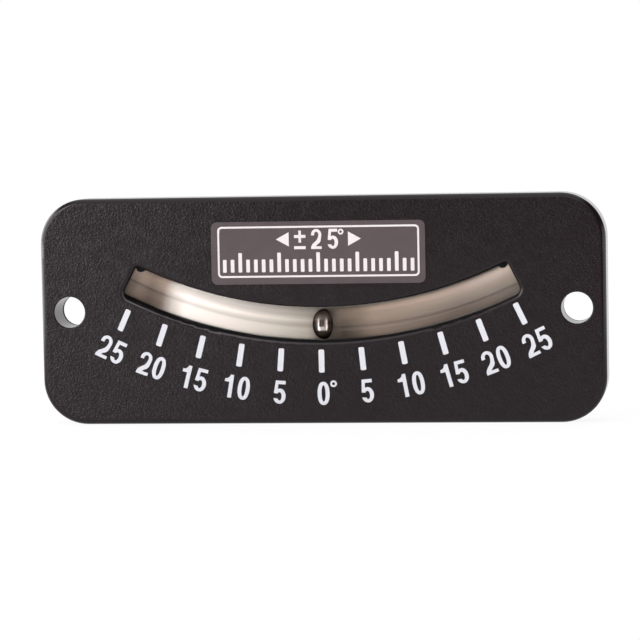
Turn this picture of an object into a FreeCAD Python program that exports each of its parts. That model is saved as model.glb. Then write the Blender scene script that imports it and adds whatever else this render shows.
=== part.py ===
import FreeCAD, Part
import math
import os
import Sketcher

# Ball inclinometer for a bulkhead, in millimetres.
# X runs to the right and Z up, as the reader sees the scale, and -Y points at the reader.
# The origin is midway between the two mounting holes, on the flat back of the housing.
# Depths are measured from the back towards the reader.

DIMENSIONS = {
    # Moulded housing
    "plate_width": 120.0,
    "plate_height": 48.0,
    "plate_depth": 9.5,
    "corner_radius": 9.5,
    "edge_round": 1.2,
    "back_edge_round": 0.3,
    "side_wall": 2.6,
    "rim_wall": 1.3,
    "face_wall": 3.0,
    # Mounting holes
    "hole_inset": 6.1,
    "hole_diameter": 6.6,
    "hole_edge_round": 0.25,
    "hole_boss_diameter": 11.6,
    # Arc that the tube, the window and the scale share
    "tube_arc_radius": 92.1,
    "tube_drop": 3.1,
    "tube_axis_setback": 4.55,
    # Liquid tube
    "tube_diameter": 6.9,
    "tube_bore": 4.7,
    "tube_end_reach": 4.35,
    "plug_insert_length": 3.0,
    "plug_flange_length": 1.2,
    "plug_edge_round": 0.35,
    # Ball
    "ball_diameter": 4.366,
    "ball_rest_gap": 0.08,
    "ball_film_gap": 0.03,
    # Channel and window
    "window_width": 7.3,
    "window_end_gap": 12.9,
    "window_corner_top": 0.8,
    "window_corner_bottom": 1.65,
    "window_rim_round": 0.8,
    "channel_front_wall": 1.0,
    "channel_side_wall": 1.5,
    "channel_end_gap": 0.4,
    # Nibs that keep the tube from coming out of the window
    "nib_radius": 1.0,
    "nib_reach": 1.0,
    "nib_end_gap": 1.05,
    "nib_setback": 1.0,
    "nib_thickness": 1.2,
    # Stiffening ribs
    "rib_count": 5,
    "rib_pitch": 17.0,
    "rib_thickness": 1.2,
    "rib_height": 2.2,
    # Rear cover
    "cover_thickness": 1.2,
    "cover_gap": 0.15,
    # Cover screws
    "screw_side_inset": 8.5,
    "screw_top_inset": 6.5,
    "screw_boss_diameter": 5.2,
    "screw_shank_diameter": 2.2,
    "screw_head_diameter": 4.1,
    "screw_head_sink": 0.1,
    "screw_length": 5.6,
    "screw_tip_length": 0.9,
    "screw_hole_clearance": 0.2,
    "screw_bore_spare": 0.4,
    "recess_span": 2.2,
    "recess_slot": 0.55,
    "recess_depth": 0.65,
    # Reflector
    "reflector_thickness": 0.25,
    "reflector_width": 6.0,
    "reflector_end_reach": 0.72,
    # Rubber saddles
    "saddle_length": 3.2,
    "saddle_end_inset": 0.3,
    "saddle_side_gap": 0.05,
    "saddle_fit_gap": 0.03,
    # Label
    "label_width": 45.4,
    "label_height": 13.2,
    "label_corner": 1.3,
    "label_thickness": 0.15,
    "label_offset": 0.3,
    "label_drop": 0.125,
    # Scale marks
    "tick_count": 11,
    "tick_end_gap": 2.4,
    "tick_length": 4.85,
    "tick_width": 1.2,
    "tick_corner": 0.3,
    "tick_thickness": 0.08,
    "tick_offset": 7.65,
    "print_skew_angle": 0.45,
    # How far a cut runs past the face that it opens
    "overrun": 0.5,
}

ARC_AXIS = "Axis0"

doc = FreeCAD.newDocument("inclinometer")


class Size:
    """A size, as its value and as the expression over the sheet's cells that gives it."""

    def __init__(self, value, text):
        self.value = value
        self.text = text

    def __add__(self, other):
        return Size(self.value + other.value, f"({self.text} + {other.text})")

    def __sub__(self, other):
        return Size(self.value - other.value, f"({self.text} - {other.text})")

    def __neg__(self):
        return Size(-self.value, f"(0 - {self.text})")

    def __mul__(self, other):
        if isinstance(other, Size):
            return Size(self.value * other.value, f"({self.text} * {other.text})")
        return Size(self.value * other, f"({self.text} * {other})")

    def __truediv__(self, number):
        return Size(self.value / number, f"({self.text} / {number})")


ZERO = Size(0.0, "0")
FULL_TURN = Size(360.0, "360")


def write_sheet():
    """Puts the driving dimensions in a spreadsheet, and returns each as a Size."""
    sheet = doc.addObject("Spreadsheet::Sheet", "dims")
    sizes = {}
    for row, (alias, value) in enumerate(DIMENSIONS.items(), start=1):
        sheet.set(f"A{row}", alias)
        sheet.set(f"B{row}", str(value))
        sheet.setAlias(f"B{row}", alias)
        sizes[alias] = Size(value, f"dims.{alias}")
    doc.recompute()
    return sizes


d = write_sheet()


def arc_angle(length, radius):
    """The angle in degrees that an arc of this length spans."""
    return Size(
        math.degrees(length.value / radius.value),
        f"({length.text} / {radius.text} * 180 / pi)",
    )


def chord_angle(half_chord, radius):
    """The angle in degrees between an arc's middle and the end of its half chord."""
    return Size(
        math.degrees(math.asin(half_chord.value / radius.value)),
        f"(asin({half_chord.text} / {radius.text}) / (1 deg))",
    )


def sine(size, angle):
    """A size times the sine of an angle in degrees."""
    return Size(
        size.value * math.sin(math.radians(angle.value)),
        f"({size.text} * sin({angle.text} * 1 deg))",
    )


def cosine(size, angle):
    """A size times the cosine of an angle in degrees."""
    return Size(
        size.value * math.cos(math.radians(angle.value)),
        f"({size.text} * cos({angle.text} * 1 deg))",
    )


# Places that several pieces share

hole_x = d["plate_width"] / 2 - d["hole_inset"]
screw_x = d["plate_width"] / 2 - d["screw_side_inset"]
screw_z = d["plate_height"] / 2 - d["screw_top_inset"]
tube_depth = d["plate_depth"] - d["tube_axis_setback"]
arc_height = d["tube_arc_radius"] - d["tube_drop"]
window_inner_radius = d["tube_arc_radius"] - d["window_width"] / 2
window_outer_radius = d["tube_arc_radius"] + d["window_width"] / 2
window_half_width = hole_x - d["window_end_gap"]
window_half_angle = chord_angle(window_half_width, d["tube_arc_radius"])
tube_half_angle = chord_angle(window_half_width + d["tube_end_reach"], d["tube_arc_radius"])
plug_insert_angle = arc_angle(d["plug_insert_length"], d["tube_arc_radius"])
plug_flange_angle = arc_angle(d["plug_flange_length"], d["tube_arc_radius"])
channel_half_angle = (
    tube_half_angle
    + plug_flange_angle
    + arc_angle(d["channel_end_gap"], d["tube_arc_radius"])
)
ball_drop = (d["tube_bore"] - d["ball_diameter"]) / 2 - d["ball_rest_gap"]
ball_orbit_radius = d["tube_arc_radius"] + ball_drop


# Sketches

def sketch_on(body, role, name, depth=ZERO):
    """A sketch on one of the body's own origin planes, moved along the plane's normal."""
    plane = next(plane for plane in body.Origin.OriginFeatures if plane.Role == role)
    sketch = body.newObject("Sketcher::SketchObject", name)
    sketch.AttachmentSupport = [(plane, "")]
    sketch.MapMode = "FlatFace"
    if depth is not ZERO:
        sketch.setExpression("AttachmentOffset.Base.z", depth.text)
    return sketch


def constrain(sketch, kind, *places, size=None):
    """Adds a constraint, bound to the sheet where it has a size."""
    if size is None:
        return sketch.addConstraint(Sketcher.Constraint(kind, *places))
    value = math.radians(size.value) if kind == "Angle" else size.value
    index = sketch.addConstraint(Sketcher.Constraint(kind, *places, value))
    sketch.setExpression(f"Constraints[{index}]", size.text)
    return index


def fix_point(sketch, element, point, x, y):
    """Holds a point at a place, measured from the sketch's origin."""
    for kind, axis, size in (("DistanceX", -2, x), ("DistanceY", -1, y)):
        if size is ZERO:
            constrain(sketch, "PointOnObject", element, point, axis)
        elif size.value < 0:
            constrain(sketch, kind, element, point, -1, 1, size=-size)
        else:
            constrain(sketch, kind, -1, 1, element, point, size=size)


def circle(sketch, x, y, diameter):
    """A circle at a place in the sketch."""
    centre = FreeCAD.Vector(x.value, y.value, 0)
    shape = Part.Circle(centre, FreeCAD.Vector(0, 0, 1), diameter.value / 2)
    element = sketch.addGeometry(shape, False)
    constrain(sketch, "Diameter", element, size=diameter)
    fix_point(sketch, element, 3, x, y)


def polygon(sketch, points):
    """A closed loop of straight lines through the points."""
    places = [FreeCAD.Vector(x.value, y.value, 0) for x, y in points]
    first = sketch.GeometryCount
    for index, place in enumerate(places):
        after = places[(index + 1) % len(places)]
        sketch.addGeometry(Part.LineSegment(place, after), False)
    for index, (x, y) in enumerate(points):
        before = first + (index - 1) % len(points)
        constrain(sketch, "Coincident", before, 2, first + index, 1)
        fix_point(sketch, first + index, 1, x, y)


def rectangle(sketch, low_x, high_x, low_y, high_y):
    """A rectangle between two values of x and two of y."""
    polygon(sketch, [(low_x, low_y), (high_x, low_y), (high_x, high_y), (low_x, high_y)])


def rounded_rectangle(sketch, width, height, radius, x=ZERO, y=ZERO):
    """A rectangle with round corners, about a centre."""
    w = width.value / 2
    h = height.value / 2
    r = radius.value
    up = FreeCAD.Vector(0, 0, 1)
    middle = FreeCAD.Vector(x.value, y.value, 0)
    quarters = [
        ((w, r - h), (w, h - r), (w - r, h - r)),
        ((w - r, h), (r - w, h), (r - w, h - r)),
        ((-w, h - r), (-w, r - h), (r - w, r - h)),
        ((r - w, -h), (w - r, -h), (w - r, r - h)),
    ]
    first = sketch.GeometryCount
    for quarter, places in enumerate(quarters):
        start, end, centre = (middle + FreeCAD.Vector(*place, 0) for place in places)
        turn = quarter * math.pi / 2
        round_corner = Part.Circle(centre, up, r)
        sketch.addGeometry(Part.LineSegment(start, end), False)
        sketch.addGeometry(Part.ArcOfCircle(round_corner, turn, turn + math.pi / 2), False)
    right, top, left, bottom = (first + 2 * side for side in range(4))
    for side in (right, top, left, bottom):
        corner = side + 1
        following = first + (side - first + 2) % 8
        constrain(sketch, "Tangent", side, 2, corner, 1)
        constrain(sketch, "Tangent", corner, 2, following, 1)
        if side != right:
            constrain(sketch, "Equal", right + 1, corner)
    for side in (right, left):
        constrain(sketch, "Vertical", side)
    for side in (top, bottom):
        constrain(sketch, "Horizontal", side)
    constrain(sketch, "Radius", right + 1, size=radius)
    constrain(sketch, "DistanceX", left, 1, right, 1, size=width)
    constrain(sketch, "DistanceY", bottom, 1, top, 1, size=height)
    point = sketch.addGeometry(Part.Point(middle), True)
    fix_point(sketch, point, 1, x, y)
    constrain(sketch, "Symmetric", right + 1, 3, left + 1, 3, point, 1)


def sector(sketch, inner_radius, outer_radius, half_angle, inner_corner, outer_corner):
    """A bent slot about the arc's centre, with a corner radius on its inner and outer side."""
    up = FreeCAD.Vector(0, 0, 1)
    centre = FreeCAD.Vector(0, arc_height.value, 0)
    end = math.radians(half_angle.value)

    def at(radius, angle):
        return centre + FreeCAD.Vector(radius * math.sin(angle), -radius * math.cos(angle), 0)

    def corner_place(radius, corner, side):
        """The corner's centre distance and angle: side 1 is the outer side, -1 the inner."""
        distance = radius.value - side * corner.value
        return distance, end - math.asin(corner.value / distance)

    outer_distance, outer_angle = corner_place(outer_radius, outer_corner, 1)
    inner_distance, inner_angle = corner_place(inner_radius, inner_corner, -1)
    outer_foot = outer_distance * math.cos(end - outer_angle)
    inner_foot = inner_distance * math.cos(end - inner_angle)
    down = -math.pi / 2
    first = sketch.GeometryCount
    outer, right_low, right, right_high, inner, left_high, left, left_low = range(first, first + 8)
    bow = Part.Circle(centre, up, outer_radius.value)
    inner_bow = Part.Circle(centre, up, inner_radius.value)
    low = []
    high = []
    for side in (1, -1):
        low.append(Part.Circle(at(outer_distance, side * outer_angle), up, outer_corner.value))
        high.append(Part.Circle(at(inner_distance, side * inner_angle), up, inner_corner.value))
    sketch.addGeometry(
        [
            Part.ArcOfCircle(bow, down - outer_angle, down + outer_angle),
            Part.ArcOfCircle(low[0], down + outer_angle, end),
            Part.LineSegment(at(outer_foot, end), at(inner_foot, end)),
            Part.ArcOfCircle(high[0], end, -down + inner_angle),
            Part.ArcOfCircle(inner_bow, down - inner_angle, down + inner_angle),
            Part.ArcOfCircle(high[1], -down - inner_angle, math.pi - end),
            Part.LineSegment(at(inner_foot, -end), at(outer_foot, -end)),
            Part.ArcOfCircle(low[1], math.pi - end, math.pi - down - outer_angle),
        ],
        False,
    )
    joins = [
        (outer, 2, right_low, 1),
        (right_low, 2, right, 1),
        (right, 2, right_high, 1),
        (right_high, 2, inner, 2),
        (inner, 1, left_high, 1),
        (left_high, 2, left, 1),
        (left, 2, left_low, 1),
        (left_low, 2, outer, 1),
    ]
    for join in joins:
        constrain(sketch, "Tangent", *join)
    fix_point(sketch, outer, 3, ZERO, arc_height)
    constrain(sketch, "Coincident", inner, 3, outer, 3)
    constrain(sketch, "Radius", outer, size=outer_radius)
    constrain(sketch, "Radius", inner, size=inner_radius)
    for corner, size in ((right_low, outer_corner), (right_high, inner_corner)):
        constrain(sketch, "Radius", corner, size=size)
    constrain(sketch, "Equal", right_low, left_low)
    constrain(sketch, "Equal", right_high, left_high)
    for side in (right, left):
        constrain(sketch, "PointOnObject", outer, 3, side)
    constrain(sketch, "Angle", left, 1, right, 2, size=half_angle * 2)


def arc_profile(body, name):
    """A sketch across the tube, with a construction line on the arc's axis."""
    sketch = sketch_on(body, "YZ_Plane", name)
    start = FreeCAD.Vector(-d["plate_depth"].value, arc_height.value, 0)
    end = FreeCAD.Vector(0, arc_height.value, 0)
    line = sketch.addGeometry(Part.LineSegment(start, end), True)
    fix_point(sketch, line, 1, -d["plate_depth"], arc_height)
    fix_point(sketch, line, 2, ZERO, arc_height)
    return sketch


# Features

def new_body(name):
    """An empty body whose label names its node."""
    body = doc.addObject("PartDesign::Body", name)
    body.Label = name
    body.AllowCompound = True
    return body


def extrude(body, kind, sketch, length, backwards=False):
    """A pad or a pocket of the sketch. Backwards turns it against its usual direction."""
    feature = body.newObject(f"PartDesign::{kind}", f"{sketch.Name}_{kind.lower()}")
    feature.Profile = sketch
    feature.Reversed = backwards
    feature.setExpression("Length", length.text)
    doc.recompute()
    return feature


def revolve(body, kind, sketch, axis, angle, one_way=False, backwards=False):
    """Turns the sketch about an axis, evenly both ways unless one_way."""
    feature = body.newObject(f"PartDesign::{kind}", f"{sketch.Name}_{kind.lower()}")
    feature.Profile = sketch
    feature.ReferenceAxis = (sketch, [axis])
    feature.Midplane = not one_way
    feature.Reversed = backwards
    feature.setExpression("Angle", angle.text)
    doc.recompute()
    return feature


def edge_names(feature, wanted):
    """Names of the edges that pass the test."""
    edges = enumerate(feature.Shape.Edges, start=1)
    return [f"Edge{number}" for number, edge in edges if wanted(edge)]


def blend_edges(body, kind, feature, names, radius):
    """A fillet or chamfer on the named edges of the body's last feature."""
    blend = body.newObject(f"PartDesign::{kind}", f"{body.Name}_{kind.lower()}")
    blend.Base = (feature, names)
    blend.setExpression("Radius" if kind == "Fillet" else "Size", radius.text)
    doc.recompute()
    return blend


def lies_at(edge, depth):
    """True for an edge that lies in the plane at this depth."""
    box = edge.BoundBox
    nearness = d["overrun"].value / 1000
    return abs(box.YMin + depth.value) < nearness and abs(box.YMax + depth.value) < nearness


def is_ring(edge, diameter, depth):
    """True for a circle of this diameter at this depth."""
    nearness = d["overrun"].value / 1000
    radius = getattr(edge.Curve, "Radius", 0)
    return lies_at(edge, depth) and abs(2 * radius - diameter.value) < nearness


def is_within(edge, half_width, half_height):
    """True for an edge that stays inside a rectangle about the origin, seen from the front."""
    box = edge.BoundBox
    across = max(-box.XMin, box.XMax)
    up = max(-box.ZMin, box.ZMax)
    return across < half_width.value and up < half_height.value


def on_arc_axis(body):
    """Places a piece whose own origin is on the arc's axis, level with the tube."""
    body.setExpression("Placement.Base.y", (-tube_depth).text)
    body.setExpression("Placement.Base.z", arc_height.text)


def swing(body, angle):
    """Turns a piece about its own origin, its lower side going to the left."""
    body.Placement.Rotation = FreeCAD.Rotation(FreeCAD.Vector(0, 1, 0), angle.value)
    body.setExpression("Placement.Rotation.Angle", angle.text)


def tube_circle(body, name, diameter):
    """A circle on the tube's axis, in a piece whose origin is on the arc's axis."""
    sketch = sketch_on(body, "YZ_Plane", name)
    circle(sketch, ZERO, -d["tube_arc_radius"], diameter)
    return sketch


# Sub-parts

def make_front_housing():
    """The moulded housing: a shell open at the back, with bosses, tube channel and window."""
    body = new_body("front_housing")
    depth = d["plate_depth"]

    outline = sketch_on(body, "XZ_Plane", "housing_outline")
    rounded_rectangle(outline, d["plate_width"], d["plate_height"], d["corner_radius"])
    block = extrude(body, "Pad", outline, depth)
    names = edge_names(block, lambda edge: lies_at(edge, depth))
    block = blend_edges(body, "Fillet", block, names, d["edge_round"])
    names = edge_names(block, lambda edge: lies_at(edge, ZERO))
    blend_edges(body, "Fillet", block, names, d["back_edge_round"])

    cavity_depth = depth - d["face_wall"]
    for name, wall, length in (
        ("housing_rebate", d["rim_wall"], d["cover_thickness"]),
        ("housing_cavity", d["side_wall"], cavity_depth),
    ):
        inside = sketch_on(body, "XZ_Plane", name)
        width = d["plate_width"] - wall * 2
        height = d["plate_height"] - wall * 2
        rounded_rectangle(inside, width, height, d["corner_radius"] - wall)
        extrude(body, "Pocket", inside, length, backwards=True)

    bosses = sketch_on(body, "XZ_Plane", "housing_hole_bosses")
    for x in (-hole_x, hole_x):
        circle(bosses, x, ZERO, d["hole_boss_diameter"])
    extrude(body, "Pad", bosses, cavity_depth + d["overrun"])

    seat = d["cover_thickness"]
    screw_places = [(x, z) for x in (-screw_x, screw_x) for z in (-screw_z, screw_z)]
    bosses = sketch_on(body, "XZ_Plane", "housing_screw_bosses", seat)
    for x, z in screw_places:
        circle(bosses, x, z, d["screw_boss_diameter"])
    extrude(body, "Pad", bosses, cavity_depth - seat + d["overrun"])

    tube_low = arc_height - window_outer_radius
    tube_high = arc_height - window_inner_radius
    wall = d["channel_side_wall"]
    guide = arc_profile(body, "housing_channel_guide")
    rectangle(guide, -(cavity_depth + d["overrun"]), -seat, tube_low - wall, tube_high + wall)
    guide_angle = channel_half_angle + arc_angle(wall, d["tube_arc_radius"])
    revolve(body, "Revolution", guide, ARC_AXIS, guide_angle * 2)

    make_ribs(body, cavity_depth)

    channel = arc_profile(body, "housing_channel")
    rectangle(channel, -(depth - d["channel_front_wall"]), -seat, tube_low, tube_high)
    revolve(body, "Groove", channel, ARC_AXIS, channel_half_angle * 2)

    window = sketch_on(body, "XZ_Plane", "housing_window", depth)
    sector(
        window,
        window_inner_radius,
        window_outer_radius,
        window_half_angle,
        d["window_corner_top"],
        d["window_corner_bottom"],
    )
    cut = extrude(body, "Pocket", window, d["channel_front_wall"] + d["overrun"])
    inner_height = d["plate_height"] / 2 - d["side_wall"]
    names = edge_names(
        cut,
        lambda edge: lies_at(edge, depth) and is_within(edge, hole_x, inner_height),
    )
    blend_edges(body, "Fillet", cut, names, d["window_rim_round"])

    nib_radius = window_inner_radius + d["nib_reach"] - d["nib_radius"]
    nib_angle = window_half_angle - arc_angle(d["nib_end_gap"], d["tube_arc_radius"])
    nibs = sketch_on(body, "XZ_Plane", "housing_nibs", depth - d["nib_setback"])
    for side in (-1, 1):
        x = sine(nib_radius, nib_angle) * side
        z = arc_height - cosine(nib_radius, nib_angle)
        circle(nibs, x, z, d["nib_radius"] * 2)
    extrude(body, "Pad", nibs, d["nib_thickness"], backwards=True)

    holes = sketch_on(body, "XZ_Plane", "housing_mounting_holes")
    for x in (-hole_x, hole_x):
        circle(holes, x, ZERO, d["hole_diameter"])
    cut = extrude(body, "Pocket", holes, depth + d["overrun"], backwards=True)
    rim = d["hole_diameter"]
    names = edge_names(cut, lambda edge: is_ring(edge, rim, depth) or is_ring(edge, rim, ZERO))
    blend_edges(body, "Fillet", cut, names, d["hole_edge_round"])

    pilots = sketch_on(body, "XZ_Plane", "housing_screw_bores", seat)
    for x, z in screw_places:
        circle(pilots, x, z, d["screw_shank_diameter"])
    extrude(body, "Pocket", pilots, d["screw_length"] - seat + d["screw_bore_spare"], backwards=True)
    return body


def make_ribs(body, cavity_depth):
    """Upright ribs behind the face, between the tube channel and the bottom wall."""
    ribs = sketch_on(body, "XZ_Plane", "housing_ribs", cavity_depth - d["rib_height"])
    half = d["rib_thickness"] / 2
    first_x = (d["rib_pitch"] - d["rib_pitch"] * d["rib_count"]) / 2
    low = -(d["plate_height"] - d["side_wall"]) / 2
    high = arc_height - window_outer_radius - d["channel_side_wall"] / 2
    rectangle(ribs, first_x - half, first_x + half, low, high)
    rib = extrude(body, "Pad", ribs, d["rib_height"] + d["overrun"])
    pattern = body.newObject("PartDesign::LinearPattern", "housing_rib_row")
    pattern.Originals = [rib]
    pattern.Direction = (ribs, ["H_Axis"])
    pattern.Mode = "Spacing"
    pattern.setExpression("Offset", d["rib_pitch"].text)
    pattern.setExpression("Occurrences", d["rib_count"].text)
    body.Tip = pattern
    doc.recompute()


def make_rear_cover():
    """The flat cover, notched round the hole bosses, with countersunk screw holes."""
    body = new_body("rear_cover")
    edge = d["rim_wall"] + d["cover_gap"]
    thickness = d["cover_thickness"]
    outline = sketch_on(body, "XZ_Plane", "cover_outline")
    rounded_rectangle(
        outline,
        d["plate_width"] - edge * 2,
        d["plate_height"] - edge * 2,
        d["corner_radius"] - edge,
    )
    extrude(body, "Pad", outline, thickness)

    notches = sketch_on(body, "XZ_Plane", "cover_notches")
    for x in (-hole_x, hole_x):
        circle(notches, x, ZERO, d["hole_boss_diameter"] + d["cover_gap"] * 2)
    extrude(body, "Pocket", notches, thickness + d["overrun"], backwards=True)

    holes = sketch_on(body, "XZ_Plane", "cover_screw_holes")
    hole_diameter = d["screw_shank_diameter"] + d["screw_hole_clearance"]
    for x in (-screw_x, screw_x):
        for z in (-screw_z, screw_z):
            circle(holes, x, z, hole_diameter)
    cut = extrude(body, "Pocket", holes, thickness + d["overrun"], backwards=True)
    names = edge_names(cut, lambda edge: is_ring(edge, hole_diameter, ZERO))
    head_rim = d["screw_head_diameter"] / 2 + d["screw_head_sink"] - hole_diameter / 2
    blend_edges(body, "Chamfer", cut, names, head_rim + d["screw_hole_clearance"] / 2)
    return body


def make_cover_screws():
    """Four countersunk self-tapping screws with a cross recess."""
    body = new_body("cover_screws")
    body.setExpression("Placement.Base.x", (-screw_x).text)
    body.setExpression("Placement.Base.z", (-screw_z).text)
    sink = d["screw_head_sink"]
    head = d["screw_head_diameter"] / 2
    shank = d["screw_shank_diameter"] / 2
    profile = sketch_on(body, "YZ_Plane", "screw_profile")
    polygon(
        profile,
        [
            (-sink, ZERO),
            (-d["screw_length"], ZERO),
            (d["screw_tip_length"] - d["screw_length"], shank),
            (-(sink + head - shank), shank),
            (-sink, head),
        ],
    )
    turned = revolve(body, "Revolution", profile, "H_Axis", FULL_TURN, one_way=True)

    recess = sketch_on(body, "XZ_Plane", "screw_recess")
    arm = d["recess_span"] / 2
    slot = d["recess_slot"] / 2
    quarter = [(arm, -slot), (arm, slot), (slot, slot)]
    cross = []
    for _ in range(4):
        cross += quarter
        quarter = [(-y, x) for x, y in quarter]
    polygon(recess, cross)
    cut = extrude(body, "Pocket", recess, sink + d["recess_depth"], backwards=True)

    pattern = body.newObject("PartDesign::LinearPattern", "screw_corners")
    pattern.Originals = [turned, cut]
    pattern.Direction = (recess, ["H_Axis"])
    pattern.Direction2 = (recess, ["V_Axis"])
    pattern.Occurrences = 2
    pattern.Occurrences2 = 2
    pattern.setExpression("Length", (screw_x * 2).text)
    pattern.setExpression("Length2", (screw_z * 2).text)
    body.Tip = pattern
    doc.recompute()
    return body


def make_vial_tube():
    """The glass tube, bent to the arc and open at both ends."""
    body = new_body("vial_tube")
    on_arc_axis(body)
    profile = tube_circle(body, "tube_profile", d["tube_diameter"])
    circle(profile, ZERO, -d["tube_arc_radius"], d["tube_bore"])
    revolve(body, "Revolution", profile, "H_Axis", tube_half_angle * 2)
    return body


def make_left_end_plug():
    """A rubber stopper in the tube's left end, with a flange against the glass."""
    body = new_body("left_end_plug")
    on_arc_axis(body)
    swing(body, tube_half_angle)
    flange = tube_circle(body, "plug_flange", d["tube_diameter"])
    outer = revolve(body, "Revolution", flange, "H_Axis", plug_flange_angle, one_way=True)
    rim = min(outer.Shape.Edges, key=lambda edge: edge.CenterOfMass.x)
    names = edge_names(outer, rim.isSame)
    blend_edges(body, "Fillet", outer, names, d["plug_edge_round"])
    insert = tube_circle(body, "plug_insert", d["tube_bore"])
    revolve(body, "Revolution", insert, "H_Axis", plug_insert_angle, one_way=True, backwards=True)
    return body


def make_left_tube_saddle():
    """A rubber saddle behind the tube's left end, seated on the rear cover."""
    body = new_body("left_tube_saddle")
    on_arc_axis(body)
    swing(body, tube_half_angle - arc_angle(d["saddle_end_inset"], d["tube_arc_radius"]))
    half = d["window_width"] / 2 - d["saddle_side_gap"]
    middle = -d["tube_arc_radius"]
    span = arc_angle(d["saddle_length"], d["tube_arc_radius"])
    spare = arc_angle(d["overrun"], d["tube_arc_radius"])
    block = sketch_on(body, "YZ_Plane", "saddle_block")
    rectangle(block, ZERO, tube_depth - d["cover_thickness"], middle - half, middle + half)
    revolve(body, "Revolution", block, "H_Axis", span, one_way=True, backwards=True)
    seat = tube_circle(body, "saddle_seat", d["tube_diameter"] + d["saddle_fit_gap"] * 2)
    revolve(body, "Groove", seat, "H_Axis", (span + spare) * 2)
    return body


def make_right_twin(left, name):
    """The mirror image of a left piece, on the right."""
    twin = doc.addObject("Part::Mirroring", name)
    twin.Label = name
    twin.Source = left
    twin.Normal = FreeCAD.Vector(1, 0, 0)
    twin.Base = FreeCAD.Vector(0, 0, 0)
    doc.recompute()
    return twin


def make_ball():
    """The steel ball, at the tube's lowest point."""
    ball = doc.addObject("Part::Sphere", "ball")
    ball.Label = "ball"
    ball.setExpression("Radius", (d["ball_diameter"] / 2).text)
    place_ball(ball)
    return ball


def place_ball(sphere):
    """Centres a sphere where the ball rests."""
    sphere.setExpression("Placement.Base.y", (-tube_depth).text)
    sphere.setExpression("Placement.Base.z", (arc_height - ball_orbit_radius).text)


def make_damping_fluid():
    """The liquid between the plugs, with the room that the ball takes."""
    column = new_body("fluid_column")
    on_arc_axis(column)
    profile = tube_circle(column, "fluid_profile", d["tube_bore"])
    fluid_half_angle = tube_half_angle - plug_insert_angle
    revolve(column, "Revolution", profile, "H_Axis", fluid_half_angle * 2)
    room = doc.addObject("Part::Sphere", "ball_room")
    room.setExpression("Radius", (d["ball_diameter"] / 2 + d["ball_film_gap"]).text)
    place_ball(room)
    fluid = doc.addObject("Part::Cut", "damping_fluid")
    fluid.Label = "damping_fluid"
    fluid.Base = column
    fluid.Tool = room
    doc.recompute()
    return fluid


def make_reflector_strip():
    """The bright strip behind the tube, on the rear cover's inner face."""
    body = new_body("reflector_strip")
    on_arc_axis(body)
    back = tube_depth - d["cover_thickness"]
    half = d["reflector_width"] / 2
    middle = -d["tube_arc_radius"]
    profile = sketch_on(body, "YZ_Plane", "reflector_profile")
    rectangle(profile, back - d["reflector_thickness"], back, middle - half, middle + half)
    reach = window_half_width + d["reflector_end_reach"]
    revolve(body, "Revolution", profile, "H_Axis", chord_angle(reach, d["tube_arc_radius"]) * 2)
    return body


def make_label_plate():
    """The label above the window."""
    body = new_body("label_plate")
    window_top = arc_height - window_inner_radius
    outline = sketch_on(body, "XZ_Plane", "label_outline", d["plate_depth"])
    rounded_rectangle(
        outline,
        d["label_width"],
        d["label_height"],
        d["label_corner"],
        -d["label_offset"],
        (d["plate_height"] / 2 + window_top) / 2 - d["label_drop"],
    )
    extrude(body, "Pad", outline, d["label_thickness"])
    return body


def make_scale_ticks():
    """The printed marks under the window, turned a little with the rest of the print."""
    body = new_body("scale_ticks")
    skew = d["print_skew_angle"]
    last_angle = window_half_angle - arc_angle(d["tick_end_gap"], d["tube_arc_radius"])
    swing(body, last_angle - skew)
    body.setExpression("Placement.Base.x", (-sine(arc_height, skew)).text)
    body.setExpression("Placement.Base.y", (-d["plate_depth"]).text)
    body.setExpression("Placement.Base.z", cosine(arc_height, skew).text)
    outline = sketch_on(body, "XZ_Plane", "tick_outline")
    rounded_rectangle(
        outline,
        d["tick_width"],
        d["tick_length"],
        d["tick_corner"],
        ZERO,
        -(d["tube_arc_radius"] + d["tick_offset"]),
    )
    tick = extrude(body, "Pad", outline, d["tick_thickness"])
    pattern = body.newObject("PartDesign::PolarPattern", "tick_row")
    pattern.Originals = [tick]
    pattern.Axis = (outline, ["N_Axis"])
    pattern.setExpression("Angle", (last_angle * 2).text)
    pattern.setExpression("Occurrences", d["tick_count"].text)
    body.Tip = pattern
    doc.recompute()
    return body


def make_sub_parts():
    """Every sub-part, by the name of its node."""
    left_plug = make_left_end_plug()
    left_saddle = make_left_tube_saddle()
    parts = [
        make_front_housing(),
        make_rear_cover(),
        make_cover_screws(),
        make_vial_tube(),
        left_plug,
        make_right_twin(left_plug, "right_end_plug"),
        left_saddle,
        make_right_twin(left_saddle, "right_tube_saddle"),
        make_ball(),
        make_damping_fluid(),
        make_reflector_strip(),
        make_label_plate(),
        make_scale_ticks(),
    ]
    return {part.Label: part for part in parts}


def check_model(parts):
    """Stops with a message if an object failed or a sub-part's shape is not whole."""
    for item in doc.Objects:
        if "Invalid" in item.State or "Error" in item.State:
            raise RuntimeError(f"{item.Label} failed: {item.State}")
    for name, part in parts.items():
        if part.Shape.isNull() or not part.Shape.isValid():
            raise RuntimeError(f"{name} has no valid shape")


def write_parts(parts):
    """One STEP file for each sub-part."""
    os.makedirs("parts", exist_ok=True)
    for name, part in parts.items():
        part.Shape.exportStep(os.path.join("parts", f"{name}.step"))
        print(f"{name}: {len(part.Shape.Solids)} solids, {part.Shape.Volume:.3f} mm3")


parts = make_sub_parts()
doc.recompute()
check_model(parts)
write_parts(parts)
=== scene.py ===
import math

import bmesh
import bpy
from mathutils import Euler, Matrix, Vector


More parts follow.
